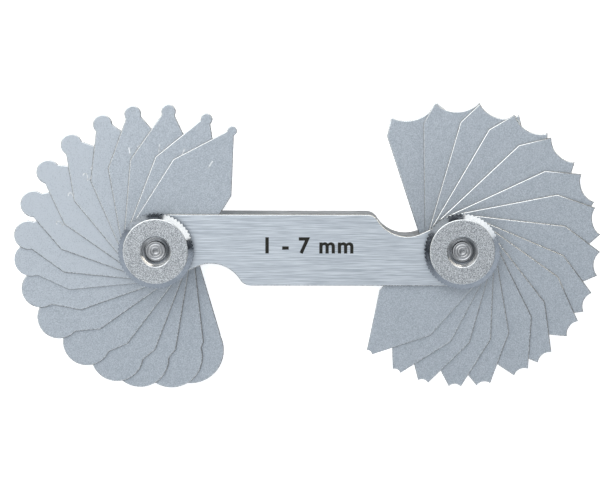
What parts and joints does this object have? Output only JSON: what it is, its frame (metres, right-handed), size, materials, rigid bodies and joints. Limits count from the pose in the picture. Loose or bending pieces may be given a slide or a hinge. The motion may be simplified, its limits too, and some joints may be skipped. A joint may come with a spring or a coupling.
{
  "type": "radius gauge",
  "caption": "Folding radius gauge: packs of swinging steel leaves with convex and concave ends, held by knurled clamp nuts between slim cover plates.",
  "frame": {"origin": "on the rear plate's outer face, midway between the two studs", "axes": "+Z out of the rear plate towards the knurled nuts, +X from the stud of the convex leaves to the stud of the concave leaves, +Y across the plates"},
  "size_m": [0.121, 0.0597, 0.0146],
  "materials": {
    "cover_plate": "stainless sheet, fine lines brushed along its length",
    "leaf": "matte tumbled spring steel",
    "knurled_nut": "satin chrome with a fine grain, bright chamfer",
    "stud": "turned steel"
  },
  "bodies": {
    "holder": {"rear_plate": "cover_plate", "front_plate": "cover_plate", "left_stud": "stud", "right_stud": "stud"},
    "left_nut": {"left_knurled_nut": "knurled_nut"},
    "right_nut": {"right_knurled_nut": "knurled_nut"},
    "convex_r1": {"convex_leaf_r1": "leaf"},
    "convex_r1_25": {"convex_leaf_r1_25": "leaf"},
    "convex_r1_5": {"convex_leaf_r1_5": "leaf"},
    "convex_r1_75": {"convex_leaf_r1_75": "leaf"},
    "convex_r2": {"convex_leaf_r2": "leaf"},
    "convex_r2_25": {"convex_leaf_r2_25": "leaf"},
    "convex_r2_5": {"convex_leaf_r2_5": "leaf"},
    "convex_r2_75": {"convex_leaf_r2_75": "leaf"},
    "convex_r3": {"convex_leaf_r3": "leaf"},
    "convex_r3_5": {"convex_leaf_r3_5": "leaf"},
    "convex_r4": {"convex_leaf_r4": "leaf"},
    "convex_r4_5": {"convex_leaf_r4_5": "leaf"},
    "convex_r5": {"convex_leaf_r5": "leaf"},
    "convex_r5_5": {"convex_leaf_r5_5": "leaf"},
    "convex_r6": {"convex_leaf_r6": "leaf"},
    "convex_r6_5": {"convex_leaf_r6_5": "leaf"},
    "convex_r7": {"convex_leaf_r7": "leaf"},
    "concave_r1": {"concave_leaf_r1": "leaf"},
    "concave_r1_25": {"concave_leaf_r1_25": "leaf"},
    "concave_r1_5": {"concave_leaf_r1_5": "leaf"},
    "concave_r1_75": {"concave_leaf_r1_75": "leaf"},
    "concave_r2": {"concave_leaf_r2": "leaf"},
    "concave_r2_25": {"concave_leaf_r2_25": "leaf"},
    "concave_r2_5": {"concave_leaf_r2_5": "leaf"},
    "concave_r2_75": {"concave_leaf_r2_75": "leaf"},
    "concave_r3": {"concave_leaf_r3": "leaf"},
    "concave_r3_5": {"concave_leaf_r3_5": "leaf"},
    "concave_r4": {"concave_leaf_r4": "leaf"},
    "concave_r4_5": {"concave_leaf_r4_5": "leaf"},
    "concave_r5": {"concave_leaf_r5": "leaf"},
    "concave_r5_5": {"concave_leaf_r5_5": "leaf"},
    "concave_r6": {"concave_leaf_r6": "leaf"},
    "concave_r6_5": {"concave_leaf_r6_5": "leaf"},
    "concave_r7": {"concave_leaf_r7": "leaf"}
  },
  "joints": [
    {"name": "left_nut_turn", "type": "hinge", "parent": "holder", "child": "left_nut", "pos_m": [-0.03115, 0, 0.0125], "axis": [0, 0, 1], "range_deg": [0, 360]},
    {"name": "right_nut_turn", "type": "hinge", "parent": "holder", "child": "right_nut", "pos_m": [0.03115, 0, 0.0125], "axis": [0, 0, 1], "range_deg": [0, 360]},
    {"name": "convex_r1_swing", "type": "hinge", "parent": "holder", "child": "convex_r1", "pos_m": [-0.03115, 0, 0.0055], "axis": [0, 0, 1], "range_deg": [-57.5, 242.5]},
    {"name": "convex_r1_25_swing", "type": "hinge", "parent": "holder", "child": "convex_r1_25", "pos_m": [-0.03115, 0, 0.0055], "axis": [0, 0, 1], "range_deg": [-69, 231]},
    {"name": "convex_r1_5_swing", "type": "hinge", "parent": "holder", "child": "convex_r1_5", "pos_m": [-0.03115, 0, 0.0055], "axis": [0, 0, 1], "range_deg": [-85, 215]},
    {"name": "convex_r1_75_swing", "type": "hinge", "parent": "holder", "child": "convex_r1_75", "pos_m": [-0.03115, 0, 0.0055], "axis": [0, 0, 1], "range_deg": [-100, 200]},
    {"name": "convex_r2_swing", "type": "hinge", "parent": "holder", "child": "convex_r2", "pos_m": [-0.03115, 0, 0.0055], "axis": [0, 0, 1], "range_deg": [-113.5, 186.5]},
    {"name": "convex_r2_25_swing", "type": "hinge", "parent": "holder", "child": "convex_r2_25", "pos_m": [-0.03115, 0, 0.0055], "axis": [0, 0, 1], "range_deg": [-129.5, 170.5]},
    {"name": "convex_r2_5_swing", "type": "hinge", "parent": "holder", "child": "convex_r2_5", "pos_m": [-0.03115, 0, 0.0055], "axis": [0, 0, 1], "range_deg": [-145, 155]},
    {"name": "convex_r2_75_swing", "type": "hinge", "parent": "holder", "child": "convex_r2_75", "pos_m": [-0.03115, 0, 0.0055], "axis": [0, 0, 1], "range_deg": [-160.5, 139.5]},
    {"name": "convex_r3_swing", "type": "hinge", "parent": "holder", "child": "convex_r3", "pos_m": [-0.03115, 0, 0.0055], "axis": [0, 0, 1], "range_deg": [-174.5, 125.5]},
    {"name": "convex_r3_5_swing", "type": "hinge", "parent": "holder", "child": "convex_r3_5", "pos_m": [-0.03115, 0, 0.0055], "axis": [0, 0, 1], "range_deg": [-185.5, 114.5]},
    {"name": "convex_r4_swing", "type": "hinge", "parent": "holder", "child": "convex_r4", "pos_m": [-0.03115, 0, 0.0055], "axis": [0, 0, 1], "range_deg": [-199.5, 100.5]},
    {"name": "convex_r4_5_swing", "type": "hinge", "parent": "holder", "child": "convex_r4_5", "pos_m": [-0.03115, 0, 0.0055], "axis": [0, 0, 1], "range_deg": [-215.3, 84.7]},
    {"name": "convex_r5_swing", "type": "hinge", "parent": "holder", "child": "convex_r5", "pos_m": [-0.03115, 0, 0.0055], "axis": [0, 0, 1], "range_deg": [-233, 67]},
    {"name": "convex_r5_5_swing", "type": "hinge", "parent": "holder", "child": "convex_r5_5", "pos_m": [-0.03115, 0, 0.0055], "axis": [0, 0, 1], "range_deg": [-249, 51]},
    {"name": "convex_r6_swing", "type": "hinge", "parent": "holder", "child": "convex_r6", "pos_m": [-0.03115, 0, 0.0055], "axis": [0, 0, 1], "range_deg": [-260.5, 39.5]},
    {"name": "convex_r6_5_swing", "type": "hinge", "parent": "holder", "child": "convex_r6_5", "pos_m": [-0.03115, 0, 0.0055], "axis": [0, 0, 1], "range_deg": [-276.3, 23.7]},
    {"name": "convex_r7_swing", "type": "hinge", "parent": "holder", "child": "convex_r7", "pos_m": [-0.03115, 0, 0.0055], "axis": [0, 0, 1], "range_deg": [-286.5, 13.5]},
    {"name": "concave_r1_swing", "type": "hinge", "parent": "holder", "child": "concave_r1", "pos_m": [0.03115, 0, 0.0055], "axis": [0, 0, 1], "range_deg": [-48.5, 251.5]},
    {"name": "concave_r1_25_swing", "type": "hinge", "parent": "holder", "child": "concave_r1_25", "pos_m": [0.03115, 0, 0.0055], "axis": [0, 0, 1], "range_deg": [-62.5, 237.5]},
    {"name": "concave_r1_5_swing", "type": "hinge", "parent": "holder", "child": "concave_r1_5", "pos_m": [0.03115, 0, 0.0055], "axis": [0, 0, 1], "range_deg": [-74.5, 225.5]},
    {"name": "concave_r1_75_swing", "type": "hinge", "parent": "holder", "child": "concave_r1_75", "pos_m": [0.03115, 0, 0.0055], "axis": [0, 0, 1], "range_deg": [-88, 212]},
    {"name": "concave_r2_swing", "type": "hinge", "parent": "holder", "child": "concave_r2", "pos_m": [0.03115, 0, 0.0055], "axis": [0, 0, 1], "range_deg": [-100, 200]},
    {"name": "concave_r2_25_swing", "type": "hinge", "parent": "holder", "child": "concave_r2_25", "pos_m": [0.03115, 0, 0.0055], "axis": [0, 0, 1], "range_deg": [-116.5, 183.5]},
    {"name": "concave_r2_5_swing", "type": "hinge", "parent": "holder", "child": "concave_r2_5", "pos_m": [0.03115, 0, 0.0055], "axis": [0, 0, 1], "range_deg": [-128, 172]},
    {"name": "concave_r2_75_swing", "type": "hinge", "parent": "holder", "child": "concave_r2_75", "pos_m": [0.03115, 0, 0.0055], "axis": [0, 0, 1], "range_deg": [-144.5, 155.5]},
    {"name": "concave_r3_swing", "type": "hinge", "parent": "holder", "child": "concave_r3", "pos_m": [0.03115, 0, 0.0055], "axis": [0, 0, 1], "range_deg": [-157, 143]},
    {"name": "concave_r3_5_swing", "type": "hinge", "parent": "holder", "child": "concave_r3_5", "pos_m": [0.03115, 0, 0.0055], "axis": [0, 0, 1], "range_deg": [-173.5, 126.5]},
    {"name": "concave_r4_swing", "type": "hinge", "parent": "holder", "child": "concave_r4", "pos_m": [0.03115, 0, 0.0055], "axis": [0, 0, 1], "range_deg": [-191, 109]},
    {"name": "concave_r4_5_swing", "type": "hinge", "parent": "holder", "child": "concave_r4_5", "pos_m": [0.03115, 0, 0.0055], "axis": [0, 0, 1], "range_deg": [-205, 95]},
    {"name": "concave_r5_swing", "type": "hinge", "parent": "holder", "child": "concave_r5", "pos_m": [0.03115, 0, 0.0055], "axis": [0, 0, 1], "range_deg": [-223.5, 76.5]},
    {"name": "concave_r5_5_swing", "type": "hinge", "parent": "holder", "child": "concave_r5_5", "pos_m": [0.03115, 0, 0.0055], "axis": [0, 0, 1], "range_deg": [-240, 60]},
    {"name": "concave_r6_swing", "type": "hinge", "parent": "holder", "child": "concave_r6", "pos_m": [0.03115, 0, 0.0055], "axis": [0, 0, 1], "range_deg": [-254, 46]},
    {"name": "concave_r6_5_swing", "type": "hinge", "parent": "holder", "child": "concave_r6_5", "pos_m": [0.03115, 0, 0.0055], "axis": [0, 0, 1], "range_deg": [-271, 29]},
    {"name": "concave_r7_swing", "type": "hinge", "parent": "holder", "child": "concave_r7", "pos_m": [0.03115, 0, 0.0055], "axis": [0, 0, 1], "range_deg": [-288.5, 11.5]}
  ]
}
